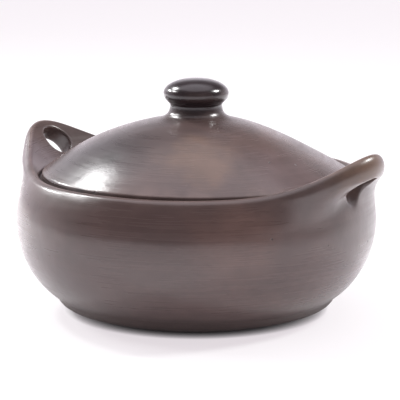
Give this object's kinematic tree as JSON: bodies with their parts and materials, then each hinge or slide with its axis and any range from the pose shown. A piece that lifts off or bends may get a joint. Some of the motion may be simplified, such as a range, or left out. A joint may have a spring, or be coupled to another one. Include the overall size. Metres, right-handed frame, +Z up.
{
  "type": "lidded clay casserole pot",
  "caption": "Round burnished black clay casserole, its rim raised into pierced lug handles, with a domed lid and knob that drops into a seat inside the rim.",
  "frame": {"origin": "centre of the flat foot, on the surface that the pot stands on", "axes": "+Z up, the lug handles along +X and -X, +Y across them"},
  "size_m": [0.3164, 0.28, 0.1798],
  "materials": {
    "pot_clay": "smoke-blackened, unglazed and burnished to a satin sheen",
    "lid_clay": "smoke-blackened, unglazed and burnished to a satin sheen"
  },
  "bodies": {
    "pot": {"pot_bowl": "pot_clay", "handle_lug_right": "pot_clay", "handle_lug_left": "pot_clay"},
    "lid": {"lid_dome": "lid_clay", "lid_knob": "lid_clay"}
  },
  "joints": [
    {"name": "lid_lift", "type": "slide", "parent": "pot", "child": "lid", "axis": [0, 0, 1], "range_m": [0, 0.12]}
  ]
}
